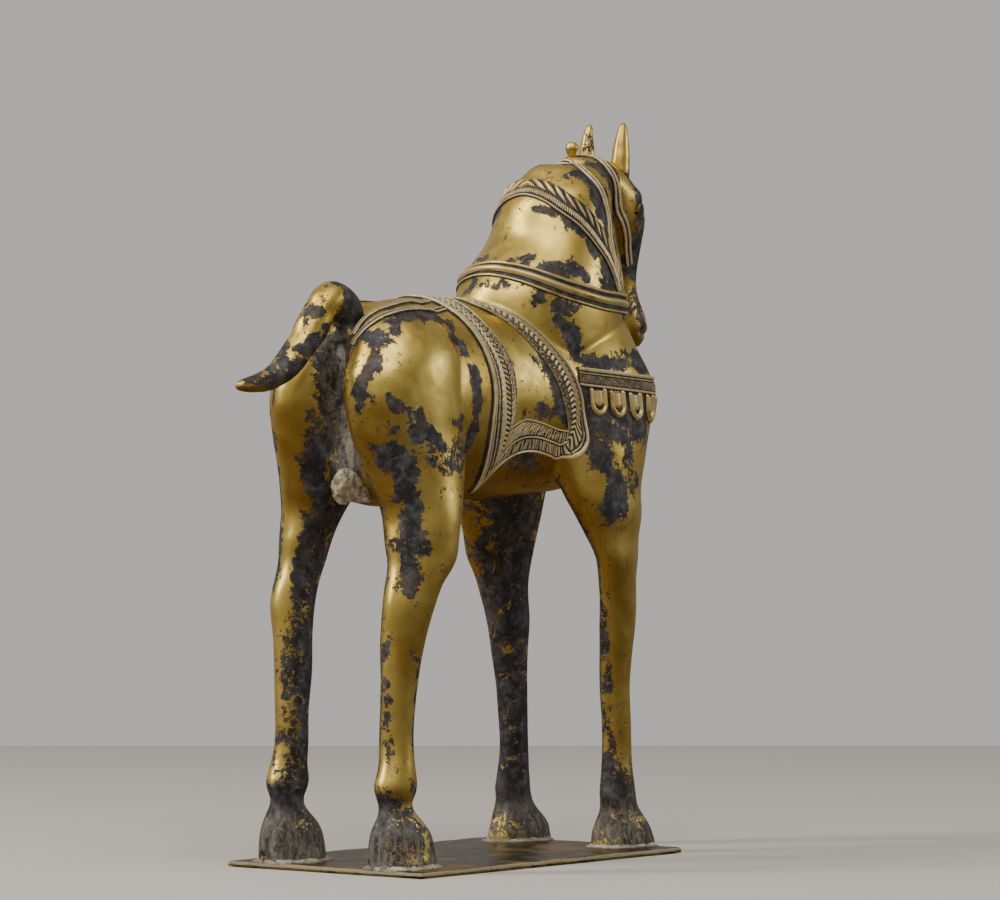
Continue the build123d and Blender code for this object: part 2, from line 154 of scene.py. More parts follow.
def face_outward(mesh):
    bm = bmesh.new()
    bm.from_mesh(mesh)
    bmesh.ops.recalc_face_normals(bm, faces=bm.faces[:])
    bm.to_mesh(mesh)
    bm.free()


def finish_piece(obj, slot, material, *nodes):
    for polygon in obj.data.polygons:
        polygon.use_smooth = True
    obj.data.set_sharp_from_angle(angle=math.radians(50))
    obj.data.materials.clear()
    obj.data.materials.append(material)
    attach(obj, "root")
    if nodes:
        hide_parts(*nodes)
    return obj


def set_values(mesh, name, values):
    layer = mesh.attributes.get(name) or mesh.attributes.new(name, "FLOAT", "POINT")
    layer.data.foreach_set("value", np.asarray(values, np.float32))


def mesh_piece(name, co, faces):
    mesh = bpy.data.meshes.new(name)
    mesh.from_pydata((np.asarray(co) * MM).tolist(), [], faces)
    mesh.update()
    obj = bpy.data.objects.new(name, mesh)
    SCENE.collection.objects.link(obj)
    return obj


def curve(points, count):
    """count points evenly spaced along a smooth line through the given ones."""
    p = np.asarray(points, float)
    ends = np.vstack([2 * p[0] - p[1], p, 2 * p[-1] - p[-2]])
    t = np.linspace(0, 1, 16, endpoint=False)[:, None]
    dense = []
    for a, b, c, d in zip(ends, ends[1:], ends[2:], ends[3:]):
        square = (2 * a - 5 * b + 4 * c - d) * t ** 2
        cube = (3 * b - 3 * c + d - a) * t ** 3
        dense.append(0.5 * (2 * b + (c - a) * t + square + cube))
    dense = np.vstack(dense + [p[-1:]])
    run = np.concatenate([[0], np.cumsum(np.linalg.norm(np.diff(dense, axis=0), axis=1))])
    at = np.linspace(0, run[-1], count)
    return np.stack([np.interp(at, run, dense[:, k]) for k in range(dense.shape[1])], 1)


def length_of(points):
    return np.linalg.norm(np.diff(curve(points, 200), axis=0), axis=1).sum()


def value_noise(co, size, seed):
    """Smooth noise between -1 and 1, about size millimetres across."""
    q = co / size
    cell = np.floor(q).astype(np.int64)
    f = q - cell
    f = f * f * (3 - 2 * f)
    total = 0
    for corner in range(8):
        step = np.array([corner & 1, corner >> 1 & 1, corner >> 2])
        c = cell + step
        h = c[..., 0] * 73856093 ^ c[..., 1] * 19349663 ^ c[..., 2] * 83492791 ^ seed * 2654435761
        h &= 0xFFFFFF
        h = (h * 1103515245 + 12345) & 0xFFFFFF
        weight = np.prod(np.where(step, f, 1 - f), axis=-1)
        total = total + weight * (h / 0x7FFFFF - 1)
    return total


def along(co, line):
    """Distance of every point to a polyline."""
    best = np.full(len(co), 1e9)
    line = np.asarray(line, float)
    for a, b in zip(line, line[1:]):
        t = np.clip(((co - a) @ (b - a)) / ((b - a) @ (b - a)), 0, 1)
        best = np.minimum(best, np.linalg.norm(co - a - t[:, None] * (b - a), axis=1))
    return best


# ---------------------------------------------------------------- the cast skin
SKIN_NODES = ["torso", "neck", "head", "hindleg_left", "hindleg_right", "foreleg_left", "foreleg_right"]
skin = remeshed("skin", SKIN_NODES, 0.9)
pairs = edge_pairs(skin.data)
co = positions(skin.data)
co = relax(co, pairs, 12, back=-0.53)

# Softer where the castings run into each other: groin, elbows, throat, root of the tail.
soft = np.zeros(len(co))
for x, y, z, r in [(-48, 0, 185, 26), (48, 0, 188, 26), (-60, 30, 190, 34), (62, 34, 190, 34),
                   (-92, 0, 225, 22), (112, 0, 275, 16), (100, 0, 345, 18), (-30, 34, 215, 30),
                   (108, 0, 300, 20)]:
    for side in (1, -1):
        d = np.linalg.norm(co - (x, side * y, z), axis=1)
        soft = np.maximum(soft, np.clip(1.4 - d / r, 0, 1))
co = relax(co, pairs, 26, weight=soft)
co = relax(co, pairs, 3)
place(skin.data, co)
normal = vertex_normals(skin.data)


def push(amount):
    """Moves the skin along its normals."""
    global co, normal
    co = co + normal * amount[:, None]
    place(skin.data, co)
    normal = vertex_normals(skin.data)


def bump(x, y, z, radius, height):
    total = np.zeros(len(co))
    for side in (1, -1) if y else (1,):
        d = np.linalg.norm((co - (x, side * y, z)) / np.asarray(radius, float), axis=1)
        total += height * np.exp(-d * d)
    return total


def groove(line, radius, depth):
    total = np.zeros(len(co))
    for side in (1, -1) if line[0][1] else (1,):
        d = along(co, [(x, side * y, z) for x, y, z in line]) / radius
        total = np.minimum(total, -depth * np.exp(-d * d))
    return total


shape = bump(-97, 37, 131, (7, 9, 12), 2.2)                  # point of the hock
shape += bump(92, 35.5, 117, (8, 9, 13), 1.4)                # knee
shape += bump(-99, 35, 42, (5, 8, 4), 0.5) + bump(78, 34, 30, (5, 8, 4), 0.5)   # fetlocks
shape += bump(112, 17, 318, (9, 8, 12), 1.6)                 # cheeks
shape += bump(134, 8, 268, (5, 4, 5), 0.8)                   # nostril wings
shape += bump(126, 16, 336, (6, 5, 4), 1.6)                  # brows
shape += bump(-90, 0, 257, (9, 9, 9), 6.0)                   # dock, under the tail
shape += groove([(-107, 35, 3), (-107, 35, 16), (-102, 35, 24)], 3.2, 2.6)      # heels
shape += groove([(71, 33.5, 3), (73, 33.5, 14), (78, 34, 21)], 3.0, 2.2)
shape += groove([(-93, 0, 200), (-93, 0, 225), (-92, 0, 256)], 4.5, 1.5)        # between the buttocks
shape += groove([(118, 14, 300), (112, 15, 292), (104, 16, 300)], 3.5, 1.2)     # behind the jaw
shape += groove([(149, 6, 266), (144, 8.5, 264), (137, 10.5, 266)], 1.6, 1.3)   # mouth
shape += groove([(146, 6.5, 273), (144.5, 8, 271)], 1.5, 1.6)                   # nostrils
shape += 0.16 * value_noise(co, 14, 3) + 0.06 * value_noise(co, 5, 5)           # hand-worked wax
push(shape)
rough = np.exp(-(co[:, 1] / 7) ** 2) * (co[:, 0] < -80) * (co[:, 2] > 186) * (co[:, 2] < 262)
push(rough * (0.5 * value_noise(co, 3, 7) + 0.35 * value_noise(co, 1.6, 8)))
co[:, 2] = np.maximum(co[:, 2], PLATE_TOP)
place(skin.data, co)
skin_tree = tree_of(skin.data)

# ---------------------------------------------------------------- where the patina has stayed
# Lines of black as (points, radius, strength), on the right; the left has the same, broken up differently.
DARK_LINES = [
    ([(-66, -22, 272), (-52, -30, 265), (-43, -36, 256), (-39, -39, 247), (-37, -40, 236), (-36, -40, 222),
      (-36, -39, 208)], 7, 1),
    ([(-94, -20, 258), (-84, -24, 263), (-72, -27, 267), (-58, -28, 268), (-48, -28, 268)], 8, 1),
    ([(-96, -26, 258), (-102, -30, 248), (-105, -30, 239), (-107, -27, 230)], 7, 0.95),
    ([(-97, -41, 227), (-88, -44, 220), (-78, -45, 213), (-70, -46, 206)], 6.5, 1),
    ([(-55, -42, 220), (-50, -41, 216)], 5.5, 0.95),
    ([(-97, -35, 208), (-92, -41, 192), (-89, -42, 176), (-88, -43, 162), (-89, -43, 151), (-91, -41, 141)],
     8.5, 0.92),
    ([(-84, -45, 203), (-66, -47, 198), (-52, -42, 202)], 11, 0.6),
    ([(22, -2, 302), (34, -20, 300), (45, -28, 297), (58, -33, 293), (70, -34, 290), (84, -33, 288)],
     6.5, 0.95),
    ([(20, -4, 288), (28, -18, 284), (40, -28, 279), (54, -33, 275)], 6, 0.85),
    ([(52, -12, 329), (58, -21, 321), (64, -27, 313), (71, -31, 305), (79, -33, 294)], 4.5, 0.95),
    ([(80, -4, 350), (76, -16, 344), (80, -24, 336), (82, -28, 326), (84, -30, 314), (88, -32, 300)], 7, 1),
    ([(98, -14, 346), (100, -20, 330), (102, -20, 316), (108, -17, 304), (112, -16, 290)], 11, 1),
    ([(122, -15, 342), (129, -15, 322), (132, -10, 300)], 10, 0.8),
    ([(130, -10, 282), (136, -11, 270)], 8, 0.7),
    ([(56, -42, 249), (75, -44, 250), (95, -42, 249), (112, -32, 248)], 9, 0.92),
    ([(42, -37, 268), (49, -40, 260), (55, -41, 251)], 9, 1),
    ([(76, -36, 277), (90, -33, 275), (104, -26, 273)], 6, 0.8),
    ([(54, -44, 215), (75, -46, 216), (95, -44, 217)], 10, 0.85),
    ([(54, -43, 229), (75, -46, 228), (95, -44, 227), (110, -32, 226)], 12, 0.92),
    ([(-16, -37, 190), (0, -38, 193), (16, -38, 193), (32, -38, 190)], 13, 0.72),
    ([(57, -45, 206), (62, -48, 190), (66, -50, 174)], 11, 0.95),
    ([(76, -48, 204), (80, -48, 186)], 7, 0.55),
    ([(35, -38, 222), (33, -38, 234), (26, -37, 246)], 9, 1),
    ([(6, -41, 222), (20, -41, 222), (34, -39, 222)], 6, 0.75),
    ([(-122, -5, 285), (-119, -7, 273)], 7, 0.95),
    ([(-92, -6, 284), (-90, -9, 268)], 8, 1),
    ([(-98, -7, 268), (-110, -6, 261), (-126, -6, 254), (-142, -5, 248)], 6, 0.9),
    ([(-122, -7, 244), (-140, -6, 238), (-158, -5, 238)], 6.5, 0.95),
    ([(-86, -43, 110), (-85, -43, 92), (-85, -43, 74), (-85, -42, 60)], 3.6, 0.7),
    ([(-98, -34, 112), (-98, -33, 90), (-98, -33, 64), (-97, -34, 52)], 4, 0.66),
    ([(74, -34, 130), (76, -34, 100), (77, -34, 70), (77, -34, 50)], 6, 0.66),
    ([(-96, -35, 37), (-86, -35, 37)], 9, 0.85),
    ([(-102, -34, 20), (-90, -35, 8), (-76, -35, 6)], 23, 0.88),
    ([(78, -34, 32), (92, -33, 10), (106, -33, 6)], 21, 0.9),
]
CLEAN_LINES = [
    ([(-76, -45, 246), (-68, -45, 238)], 18, 1), ([(-84, -38, 258), (-72, -38, 262)], 8, 0.7),
    ([(34, -10, 316), (44, -22, 310), (58, -31, 304)], 9, 1), ([(66, -38, 266), (90, -38, 262)], 12, 0.9),
    ([(24, -18, 279), (36, -27, 272)], 5, 0.8), ([(-91, -35, 128), (-88, -43, 116)], 7, 0.6),
    ([(88, -44, 180), (86, -43, 130), (86, -41, 90)], 10, 0.7), ([(-78, -46, 22), (-82, -47, 12)], 6, 0.8),
]
LEFT_DARK_LINES = [
    ([(-95, 12, 212), (-92, 18, 190), (-90, 22, 170), (-90, 26, 140)], 9, 0.95),
    ([(-105, 31, 224), (-103, 34, 208)], 4.5, 0.9),
    ([(76, 28, 176), (80, 28, 150), (83, 29, 110), (85, 30, 60)], 26, 0.8),
    ([(-99, 24, 214), (-97, 24, 196)], 5, 0.8),
    ([(118, 11, 352), (122, 11, 370)], 5, 0.62),
]
LEFT_CLEAN_LINES = [
    ([(-104, 20, 234), (-103, 24, 216)], 12, 1), ([(-100, 32, 196), (-97, 36, 160), (-97, 38, 130)], 9, 0.9),
]
LINE_SPREAD = 0.76      # share of a line's radius over which it fades
LINE_REACH = 1.62       # radii at which it has faded out
BARE_VALUE = 0.18       # black left away from every line
CLEANING = 0.45         # how much a clean line takes off


def patina(points, nn):
    """How much black is left at each point, from 0 to 1; the material breaks its edge up."""
    value = np.full(len(points), BARE_VALUE)
    real = points
    warp = [5.2 * value_noise(points, 11, 41 + k) + 2.6 * value_noise(points, 4.2, 51 + k) for k in range(3)]
    points = points + np.stack(warp, 1)     # from here on, points wander, so that every edge is ragged

    def lay(lines, sides, clean):
        nonlocal value
        for line, r, strength in lines:
            for side in sides:
                d = along(points, [(x, side * y, z) for x, y, z in line]) / (LINE_SPREAD * r)
                near = strength * np.clip(LINE_REACH - d, 0, 1)
                value = value - CLEANING * near if clean else np.maximum(value, near)

    inward = np.clip(-nn[:, 1] * np.sign(real[:, 1]), 0, 1)
    low = np.clip((215 - points[:, 2]) / 25, 0, 1)
    value = np.maximum(value, inward ** 0.7 * low * 0.78 * (np.abs(real[:, 1]) > 4))
    groin = np.clip(1.5 - np.abs(points[:, 1]) / 11, 0, 1) * np.clip((268 - points[:, 2]) / 10, 0, 1)
    groin *= np.clip((-74 - points[:, 0]) / 6, 0, 1) * np.clip((points[:, 2] - 150) / 10, 0, 1)
    groin *= real[:, 0] > -103
    value = np.maximum(value, 0.85 * groin)
    lay(DARK_LINES, (1, -1), False)
    lay(LEFT_DARK_LINES, (1,), False)
    lay(CLEAN_LINES, (1, -1), True)
    lay(LEFT_CLEAN_LINES, (1,), True)
    return np.clip(value, 0, 1)


def dust(points):
    """Grey dust and pale residue: in the seam between the buttocks and round the hooves."""
    seam = np.exp(-((points[:, 1] + 1) / 8) ** 2)
    seam *= np.clip((-80 - points[:, 0]) / 5, 0, 1) * (points[:, 0] > -103)
    seam *= np.clip((266 - points[:, 2]) / 14, 0, 1) * np.clip((points[:, 2] - 178) / 10, 0, 1)
    foot = np.clip((36 - points[:, 2]) / 24, 0, 1) * 0.55
    crease = along(points, [(-93, 3, 250), (-92, -3, 225), (-93, -5, 205)])
    return np.clip(0.85 * seam + foot + np.exp(-(crease / 2.2) ** 2) * 0.8, 0, 1)


def weathered(obj):
    points = positions(obj.data)
    set_values(obj.data, "patina", patina(points, vertex_normals(obj.data)))
    set_values(obj.data, "dust", dust(points))
    return obj


# ---------------------------------------------------------------- materials
class Nodes:
    """A short way to write a node material."""

    def __init__(self, name):
        self.material = bpy.data.materials.new(name)
        self.material.use_nodes = True
        self.tree = self.material.node_tree
        self.tree.nodes.clear()
        self.out = self.tree.nodes.new("ShaderNodeOutputMaterial")
        self.coords = self.tree.nodes.new("ShaderNodeTexCoord").outputs["Object"]

    def link(self, value, socket):
        if isinstance(value, bpy.types.NodeSocket):
            self.tree.links.new(value, socket)
        elif isinstance(value, tuple) and len(value) == 3 and socket.type == "RGBA":
            socket.default_value = (*value, 1)
        else:
            socket.default_value = value

    def noise(self, scale, detail=4.0, rough=0.55, warp=0.0, stretch=None):
        node = self.tree.nodes.new("ShaderNodeTexNoise")
        vector = self.coords
        if stretch:
            mapping = self.tree.nodes.new("ShaderNodeMapping")
            mapping.inputs["Scale"].default_value = stretch
            self.tree.links.new(vector, mapping.inputs["Vector"])
            vector = mapping.outputs[0]
        self.tree.links.new(vector, node.inputs["Vector"])
        for key, value in (("Scale", scale), ("Detail", detail), ("Roughness", rough), ("Distortion", warp)):
            node.inputs[key].default_value = value
        return node.outputs["Fac"]

    def attribute(self, name):
        node = self.tree.nodes.new("ShaderNodeAttribute")
        node.attribute_name = name
        return node.outputs["Fac"]

    def math(self, operation, a, b=0.0, c=0.0):
        node = self.tree.nodes.new("ShaderNodeMath")
        node.operation = operation
        for i, value in enumerate((a, b, c)):
            self.link(value, node.inputs[i])
        return node.outputs[0]

    def span(self, value, low, high, to_low=0.0, to_high=1.0):
        node = self.tree.nodes.new("ShaderNodeMapRange")
        node.interpolation_type = "SMOOTHSTEP"
        ends = {"Value": value, "From Min": low, "From Max": high, "To Min": to_low, "To Max": to_high}
        for key, end in ends.items():
            self.link(end, node.inputs[key])
        return node.outputs[0]

    def mix(self, factor, a, b):
        node = self.tree.nodes.new("ShaderNodeMix")
        node.data_type = "RGBA"
        self.link(factor, node.inputs["Factor"])
        self.link(a, node.inputs[6])
        self.link(b, node.inputs[7])
        return node.outputs[2]

    def bump(self, height, strength, distance):
        node = self.tree.nodes.new("ShaderNodeBump")
        self.link(height, node.inputs["Height"])
        node.inputs["Strength"].default_value = strength
        node.inputs["Distance"].default_value = distance * MM
        return node.outputs[0]

    def surface(self, color, metal, rough, normal):
        shader = self.tree.nodes.new("ShaderNodeBsdfPrincipled")
        looks = {"Base Color": color, "Metallic": metal, "Roughness": rough, "Normal": normal}
        for key, value in looks.items():
            self.link(value, shader.inputs[key])
        self.tree.links.new(shader.outputs[0], self.out.inputs["Surface"])
        return self.material


BRASS = (0.82, 0.61, 0.155)
BRASS_DEEP = (0.64, 0.44, 0.09)
TARNISH = (0.16, 0.09, 0.03)
BLACK = (0.022, 0.023, 0.027)
CHARCOAL = (0.11, 0.11, 0.12)
UMBER = (0.10, 0.062, 0.026)
BONE = (0.63, 0.575, 0.45)


def worn_brass(name, dark_bias=0.0):
    """Golden brass under black lacquer that has flaked away."""
    n = Nodes(name)
    patches = n.noise(140, 11, 0.76, 0.9)
    flakes = n.noise(520, 6, 0.75, 0.6)
    level = n.math("ADD", n.attribute("patina"), dark_bias)
    level = n.math("MULTIPLY_ADD", n.math("SUBTRACT", patches, 0.5), 2.9, level)
    level = n.math("MULTIPLY_ADD", n.math("SUBTRACT", flakes, 0.5), 1.5, level)
    black = n.span(level, 0.50, 0.54)
    edge = n.span(level, 0.36, 0.52)
    tone = n.noise(38, 3, 0.5, 0.4)
    grain = n.noise(900, 3, 0.6)
    brass = n.mix(n.span(tone, 0.35, 0.68), BRASS, BRASS_DEEP)
    brass = n.mix(n.math("MULTIPLY", edge, n.span(grain, 0.4, 0.62, 0.15, 0.7)), brass, TARNISH)
    coal = n.mix(n.span(n.noise(160, 7, 0.72), 0.42, 0.68), BLACK, CHARCOAL)
    coal = n.mix(n.span(n.noise(85, 8, 0.74, 0.5), 0.50, 0.64, 0.0, 0.8), coal, UMBER)
    color = n.mix(black, brass, coal)
    streaks = n.span(n.noise(300, 8, 0.75, 0.5, (1, 1, 0.4)), 0.40, 0.60)
    powder = n.math("MULTIPLY", n.attribute("dust"), streaks)
    powder = n.math("MULTIPLY", powder, 0.85)
    color = n.mix(powder, color, n.mix(n.noise(500, 3), (0.14, 0.13, 0.11), BONE))
    metal = n.math("MULTIPLY", n.span(black, 0, 1, 1.0, 0.25), n.math("SUBTRACT", 1.0, powder))
    rough = n.span(black, 0, 1, 0.0, 0.17)
    rough = n.math("ADD", rough, n.span(n.noise(130, 4), 0.3, 0.7, 0.33, 0.44))
    rough = n.math("MULTIPLY_ADD", powder, 0.4, rough)
    height = n.math("MULTIPLY_ADD", black, 0.5, n.math("MULTIPLY", grain, 0.12))
    height = n.math("MULTIPLY_ADD", n.noise(60, 3, 0.5), 0.9, height)
    height = n.math("MULTIPLY_ADD", powder, n.noise(700, 4, 0.7), height)
    return n.surface(color, metal, rough, n.bump(height, 0.55, 0.35))


def relief_metal(name, bone=0.6, brass_share=0.5):
    """Ornament: dark in the recesses, pale residue and worn brass on the ridges."""
    n = Nodes(name)
    high = n.attribute("relief")
    ragged = n.noise(300, 6, 0.7)
    level = n.math("MULTIPLY_ADD", n.math("SUBTRACT", ragged, 0.5), 0.45, high)
    ridge = n.span(level, 0.43, 0.66)
    worn = n.span(n.noise(120, 5, 0.65), 0.62 - 0.3 * brass_share, 0.72)
    metal_color = n.mix(n.noise(60, 3), BRASS, BRASS_DEEP)
    top = n.mix(n.math("MULTIPLY", n.span(n.noise(420, 5, 0.7), 0.36, 0.6), bone), metal_color, BONE)
    top = n.mix(worn, top, metal_color)
    low = n.mix(n.span(n.noise(200, 5, 0.7), 0.45, 0.7), BLACK, (0.10, 0.095, 0.085))
    color = n.mix(ridge, low, top)
    metal = n.math("MULTIPLY", ridge, n.span(worn, 0, 1, 1 - 0.7 * bone, 1.0))
    rough = n.span(ridge, 0, 1, 0.62, 0.36)
    height = n.math("MULTIPLY", n.noise(650, 4, 0.65), 0.6)
    return n.surface(color, metal, rough, n.bump(height, 0.5, 0.22))


def crusty(name, light, dark, metal=0.0):
    """Solder and residue: pale, rough and pitted."""
    n = Nodes(name)
    patch = n.span(n.noise(140, 7, 0.7, 0.4), 0.40, 0.62)
    color = n.mix(patch, dark, light)
    color = n.mix(n.span(n.noise(520, 5, 0.7), 0.56, 0.66), color, BLACK)
    height = n.math("ADD", n.noise(330, 8, 0.75), n.math("MULTIPLY", patch, 0.4))
    return n.surface(color, metal, n.span(patch, 0, 1, 0.5, 0.8), n.bump(height, 0.8, 0.6))


SKIN = worn_brass("worn_brass")
SKIN_TAIL = worn_brass("worn_brass_tail", 0.10)
RELIEF = relief_metal("relief_metal", 0.95, 0.05)
RELIEF_BRIGHT = relief_metal("relief_metal_bright", 0.6, 0.55)
BRAZE = crusty("braze", (0.62, 0.58, 0.47), (0.22, 0.20, 0.16))
LUMP = crusty("cast_lump", (0.74, 0.65, 0.45), (0.24, 0.19, 0.12), 0.1)


# ---------------------------------------------------------------- cutting the skin into its castings
def cut_piece(name, planes, node, side_test=None):
    """The part of the skin inside every plane, capped."""
    bm = bmesh.new()
    bm.from_mesh(skin.data)
    for point, direction in planes:
        geom = bm.verts[:] + bm.edges[:] + bm.faces[:]
        at = Vector(point) * MM
        bmesh.ops.bisect_plane(bm, geom=geom, plane_co=at, plane_no=direction, clear_outer=True)
    if side_test:
        bmesh.ops.delete(bm, geom=[v for v in bm.verts if not side_test(v.co)], context="VERTS")
    open_edges = [e for e in bm.edges if e.is_boundary]
    bmesh.ops.holes_fill(bm, edges=open_edges, sides=0)
    mesh = bpy.data.meshes.new(name)
    bm.to_mesh(mesh)
    bm.free()
    obj = bpy.data.objects.new(name, mesh)
    SCENE.collection.objects.link(obj)
    return finish_piece(weathered(obj), "cast_skin", SKIN, node)


head_cut = ((87, 0, 350), Vector((0.94, 0, 0.34)))
neck_cut = ((17, 0, 297), Vector((0.196, 0, 0.981)))
joint = ((0, 0, LEG_JOINT), Vector((0, 0, 1)))


def flipped(plane):
    return plane[0], -plane[1]


cut_piece("cast_head", [flipped(head_cut)], "head")
cut_piece("cast_neck", [head_cut, flipped(neck_cut)], "neck")
cut_piece("cast_torso", [head_cut, neck_cut, flipped(joint)], "torso")
for fore, front in ((True, "fore"), (False, "hind")):
    for left, hand in ((True, "left"), (False, "right")):
        cut_piece(f"cast_{front}leg_{hand}", [joint], f"{front}leg_{hand}",
                  lambda p, f=fore, l=left: (p.x > 0) == f and (p.y > 0) == l)
bpy.data.objects.remove(skin)


# ---------------------------------------------------------------- relief laid on the skin
def round_barrel(x, z):
    """Side view (x, z) to (x, arc) round the barrel; arc 0 is level with its axis and rises to the spine."""
    share = min(1.0, max(-1.0, (z - BARREL_AXIS_Z) / BARREL_HALF[1]))
    across = BARREL_HALF[0] * math.sqrt(1 - share * share)
    return x, ARC * math.atan2(z - BARREL_AXIS_Z, across) if share < 1 else ARC * math.pi / 2


def over_spine(points):
    """A right-hand line carried over the spine and down the other side."""
    other = [(x, ARC * math.pi - s) for x, s in points[::-1]]
    return points + other[1:] if abs(points[-1][1] - ARC * math.pi / 2) < 1e-6 else points + other


def hit(origin, direction):
    spot = skin_tree.ray_cast(Vector(origin) * MM, Vector(direction))[0]
    return None if spot is None else np.array(spot) / MM


def barrel_point(x, s):
    a = s / ARC
    out = np.array([0, -math.cos(a), math.sin(a)])
    axis = np.array([x, 0, BARREL_AXIS_Z])
    found = hit(axis + out * RAY_START, -out)
    return axis + out * BARREL_HALF[0] if found is None else found


def grid_normals(grid, centre, closed=False):
    if closed:
        du = np.roll(grid, -1, 0) - np.roll(grid, 1, 0)
    else:
        du = np.gradient(grid, axis=0)
    dv = np.gradient(grid, axis=1)
    nn = np.cross(du, dv)
    nn /= np.linalg.norm(nn, axis=2, keepdims=True) + 1e-12
    if (nn * (grid - centre)).sum() < 0:
        nn = -nn
    return nn


def soften(grid, rounds, closed=False):
    for _ in range(rounds):
        inner = grid.copy()
        if closed:
            inner = (np.roll(grid, 1, 0) + 2 * grid + np.roll(grid, -1, 0)) / 4
        else:
            inner[1:-1] = (grid[:-2] + 2 * grid[1:-1] + grid[2:]) / 4
        inner[:, 1:-1] = (inner[:, :-2] + 2 * inner[:, 1:-1] + inner[:, 2:]) / 4
        grid = inner
    return grid


def slab(grid, nn, height, closed=False, depth=0.7):
    """Points and faces of a closed sheet: the relief on top, a plain underside just below the skin."""
    rows, cols = height.shape
    top = (grid + nn * height[..., None]).reshape(-1, 3)
    bottom = (grid - nn * depth).reshape(-1, 3)
    index = np.arange(rows * cols).reshape(rows, cols)
    other = index + rows * cols
    if closed:
        index = np.vstack([index, index[:1]])
        other = np.vstack([other, other[:1]])
    quads = [np.stack([index[:-1, :-1], index[1:, :-1], index[1:, 1:], index[:-1, 1:]], -1).reshape(-1, 4),
             np.stack([other[:-1, :-1], other[:-1, 1:], other[1:, 1:], other[1:, :-1]], -1).reshape(-1, 4),
             np.stack([index[:-1, 0], other[:-1, 0], other[1:, 0], index[1:, 0]], -1),
             np.stack([index[:-1, -1], index[1:, -1], other[1:, -1], other[:-1, -1]], -1)]
    if not closed:
        quads.append(np.stack([index[0, :-1], index[0, 1:], other[0, 1:], other[0, :-1]], -1))
        quads.append(np.stack([index[-1, :-1], other[-1, :-1], other[-1, 1:], index[-1, 1:]], -1))
    return np.vstack([top, bottom]), np.vstack(quads)


def relief_piece(name, parts, slot, material, *nodes):
    """parts: (points, faces, relief values of the top) joined into one piece."""
    points, faces, values, count = [], [], [], 0
    for p, f, v in parts:
        points.append(p)
        faces.append(f + count)
        values.append(v)
        count += len(p)
    obj = mesh_piece(name, np.vstack(points), np.vstack(faces).tolist())
    face_outward(obj.data)
    set_values(obj.data, "relief", np.concatenate(values))
    set_values(obj.data, "patina", patina(positions(obj.data), vertex_normals(obj.data)))
    set_values(obj.data, "dust", np.zeros(len(obj.data.vertices)))
    return finish_piece(obj, slot, material, *nodes)


def part_of(grid, nn, height, closed=False, low=0.0, high=1.8):
    p, f = slab(grid, nn, height, closed)
    value = np.clip((height - low) / (high - low), 0, 1).ravel()
    return p, f, np.concatenate([value, value * 0])


def cloth_band(outer, inner, pattern, step=0.42):
    """A band between two lines given in (x, arc) round the barrel."""
    length = max(length_of(outer), length_of(inner))
    width = np.linalg.norm(curve(outer, 60) - curve(inner, 60), axis=1).mean()
    rows, cols = int(length / step), max(8, int(width / step))
    a, b = curve(outer, rows), curve(inner, rows)
    v = np.linspace(0, 1, cols)
    flat = a[:, None] * (1 - v)[None, :, None] + b[:, None] * v[None, :, None]
    grid = np.array([[barrel_point(x, s) for x, s in row] for row in flat])
    grid = soften(grid, 3)
    nn = grid_normals(grid, np.array([grid[..., 0].mean(), 0, BARREL_AXIS_Z]))
    middle = 0.5 * (a + b)
    run = np.concatenate([[0], np.cumsum(np.linalg.norm(np.diff(middle, axis=0), axis=1))])
    across = np.linalg.norm(a - b, axis=1)
    u = np.repeat(run[:, None], cols, 1)
    w = v[None, :] * across[:, None]
    return part_of(grid, nn, pattern(u, w, across[:, None]))


def strip(points, width, pattern, centre, closed=False, high=1.8, step=0.4, lift=9.0):
    """A ribbon along a line near the skin, facing away from centre; v runs from -width/2 to width/2."""
    rows = int(length_of(points) / step)
    line = curve(points, rows + (1 if closed else 0))
    if closed:
        line = line[:-1]
    cols = max(7, int(width / step))
    v = np.linspace(-width / 2, width / 2, cols)
    snapped, nn = [], []
    for p in line:
        found, n_, _, _ = skin_tree.find_nearest(Vector(p) * MM)
        snapped.append(np.array(found) / MM)
        nn.append(np.array(n_))
    snapped, nn = np.array(snapped), np.array(nn)
    for _ in range(12):
        if closed:
            nn = (np.roll(nn, 1, 0) + 2 * nn + np.roll(nn, -1, 0)) / 4
            snapped = (np.roll(snapped, 1, 0) + 2 * snapped + np.roll(snapped, -1, 0)) / 4
        else:
            nn[1:-1] = (nn[:-2] + 2 * nn[1:-1] + nn[2:]) / 4
            snapped[1:-1] = (snapped[:-2] + 2 * snapped[1:-1] + snapped[2:]) / 4
    nn /= np.linalg.norm(nn, axis=1, keepdims=True)
    tangent = np.roll(snapped, -1, 0) - np.roll(snapped, 1, 0) if closed else np.gradient(snapped, axis=0)
    across = np.cross(nn, tangent)
    across /= np.linalg.norm(across, axis=1, keepdims=True)
    grid = np.empty((len(snapped), cols, 3))
    for i, (p, n_, s_) in enumerate(zip(snapped, nn, across)):
        for j, w in enumerate(v):
            q = p + s_ * w
            found = hit(q + n_ * lift, -n_)
            far = found is None or np.linalg.norm(found - q) > STRAY
            grid[i, j] = q if far else found
    grid = soften(grid, 4, closed)
    normals = grid_normals(grid, np.asarray(centre, float), closed)
    run = np.concatenate([[0], np.cumsum(np.linalg.norm(np.diff(snapped, axis=0), axis=1))])
    height = pattern(np.repeat(run[:, None], cols, 1), np.repeat(v[None, :], len(run), 0))
    return part_of(grid, normals, height, closed, high=high)


def ridge(v, at, half, high):
    return high * np.sqrt(np.clip(1 - ((v - at) / half) ** 2, 0, 1))


